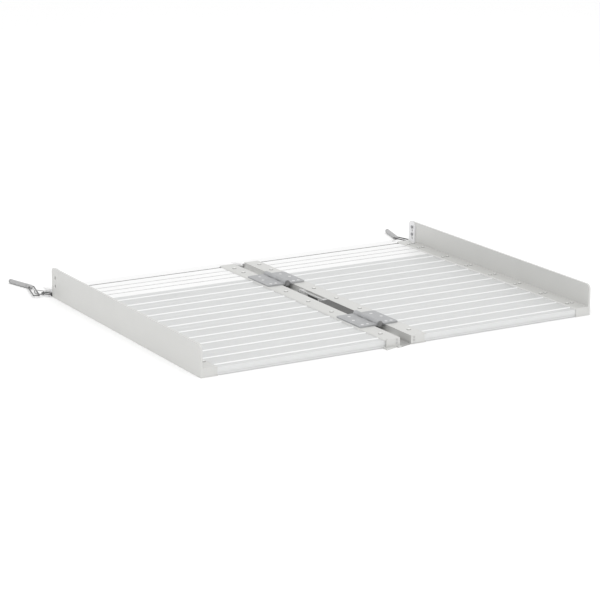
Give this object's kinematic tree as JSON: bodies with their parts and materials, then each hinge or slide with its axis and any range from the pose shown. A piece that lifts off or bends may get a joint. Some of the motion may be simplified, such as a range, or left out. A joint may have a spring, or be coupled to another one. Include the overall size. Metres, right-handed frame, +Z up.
{
  "type": "folding access ramp",
  "caption": "Two-leaf folding access ramp: ribbed plank decks between kerb walls, hinged along the centre, with a sloped rear lip and securing pins on short chains.",
  "frame": {"origin": "middle of the footprint at ground level, securing pins included", "axes": "+X across the ramp to the right, +Y from the low front edge to the rear lip, +Z up"},
  "size_m": [1.132, 0.9887, 0.075],
  "materials": {
    "rail": "mill finish, satin",
    "tread": "extruded, fine-grooved",
    "landing": "bright satin",
    "lip_plate": "bright satin",
    "bracket": "brushed",
    "handle": "brushed",
    "fastener": "zinc plated",
    "foot_plate": "mill finish, soiled under the gap",
    "cap_screw": "zinc plated, dull",
    "hinge_screw": "zinc plated",
    "dark_screw": "dark plated",
    "hinge_steel": "zinc plated, dull",
    "hinge_pin_steel": "plain",
    "chain_steel": "plated wire",
    "pin_steel": "turned",
    "black_plastic": "moulded"
  },
  "bodies": {
    "left_leaf": {"side_rail_left": "rail", "centre_rail_left": "rail", "landing_plank_left": "landing", "lip_left": "lip_plate", "lip_screws_left": "fastener", "side_rivets_left": "fastener", "rail_screws_left": "fastener", "hinge_screws_left": "hinge_screw", "end_bracket_left": "bracket", "bracket_screws_left": "dark_screw", "front_cap_left": "rail", "cap_screws_left": "cap_screw", "side_end_cap_left": "rail", "chain_eye_left": "chain_steel", "plank_1_left": "tread", "plank_2_left": "tread", "plank_3_left": "tread", "plank_4_left": "tread", "plank_5_left": "tread", "plank_6_left": "tread", "toe_plate": "foot_plate", "front_hinge_leaf_left": "hinge_steel", "rear_hinge_leaf_left": "hinge_steel", "front_hinge_pin": "hinge_pin_steel", "rear_hinge_pin": "hinge_pin_steel"},
    "right_leaf": {"side_rail_right": "rail", "centre_rail_right": "rail", "landing_plank_right": "landing", "lip_right": "lip_plate", "lip_screws_right": "fastener", "side_rivets_right": "fastener", "rail_screws_right": "fastener", "hinge_screws_right": "hinge_screw", "end_bracket_right": "bracket", "bracket_screws_right": "dark_screw", "front_cap_right": "rail", "cap_screws_right": "cap_screw", "side_end_cap_right": "rail", "chain_eye_right": "chain_steel", "plank_1_right": "tread", "plank_2_right": "tread", "plank_3_right": "tread", "plank_4_right": "tread", "plank_5_right": "tread", "plank_6_right": "tread", "stop_block": "black_plastic", "carry_handle": "handle", "handle_bolts": "pin_steel", "handle_pad": "black_plastic", "front_hinge_leaf_right": "hinge_steel", "rear_hinge_leaf_right": "hinge_steel"},
    "first_link_left": {"chain_link_1_left": "chain_steel"},
    "first_link_right": {"chain_link_1_right": "chain_steel"},
    "second_link_left": {"chain_link_2_left": "pin_steel"},
    "second_link_right": {"chain_link_2_right": "pin_steel"},
    "loop_left": {"pin_loop_left": "chain_steel"},
    "loop_right": {"pin_loop_right": "chain_steel"},
    "pin_left": {"securing_pin_left": "pin_steel"},
    "pin_right": {"securing_pin_right": "pin_steel"}
  },
  "joints": [
    {"name": "fold", "type": "hinge", "parent": "left_leaf", "child": "right_leaf", "pos_m": [0, 0, 0.024], "axis": [0, -1, 0], "range_deg": [0, 168]},
    {"name": "chain_lift_right", "type": "hinge", "parent": "right_leaf", "child": "first_link_right", "pos_m": [0.5205, 0.32095, 0.0054], "axis": [1, 0, 0], "range_deg": [0, 12]},
    {"name": "link_lift_right", "type": "hinge", "parent": "first_link_right", "child": "second_link_right", "pos_m": [0.53312, 0.34572, 0.0054], "axis": [0.891, -0.454, 0], "range_deg": [0, 12]},
    {"name": "loop_roll_right", "type": "hinge", "parent": "second_link_right", "child": "loop_right", "pos_m": [0.5398, 0.36878, 0.0055], "axis": [0.2436, -0.9699, 0], "range_deg": [0, 25]},
    {"name": "pin_lift_right", "type": "hinge", "parent": "loop_right", "child": "pin_right", "pos_m": [0.5365, 0.41125, 0.0055], "axis": [0.965, -0.2622, 0], "range_deg": [0, 40]},
    {"name": "chain_lift_left", "type": "hinge", "parent": "left_leaf", "child": "first_link_left", "pos_m": [-0.5205, 0.32095, 0.0054], "axis": [-1, 0, 0], "range_deg": [-12, 0]},
    {"name": "link_lift_left", "type": "hinge", "parent": "first_link_left", "child": "second_link_left", "pos_m": [-0.53312, 0.34572, 0.0054], "axis": [-0.891, -0.454, 0], "range_deg": [-12, 0]},
    {"name": "loop_roll_left", "type": "hinge", "parent": "second_link_left", "child": "loop_left", "pos_m": [-0.5398, 0.36878, 0.0055], "axis": [-0.2436, -0.9699, 0], "range_deg": [-25, 0]},
    {"name": "pin_lift_left", "type": "hinge", "parent": "loop_left", "child": "pin_left", "pos_m": [-0.5365, 0.41125, 0.0055], "axis": [-0.965, -0.2622, 0], "range_deg": [-40, 0]}
  ]
}
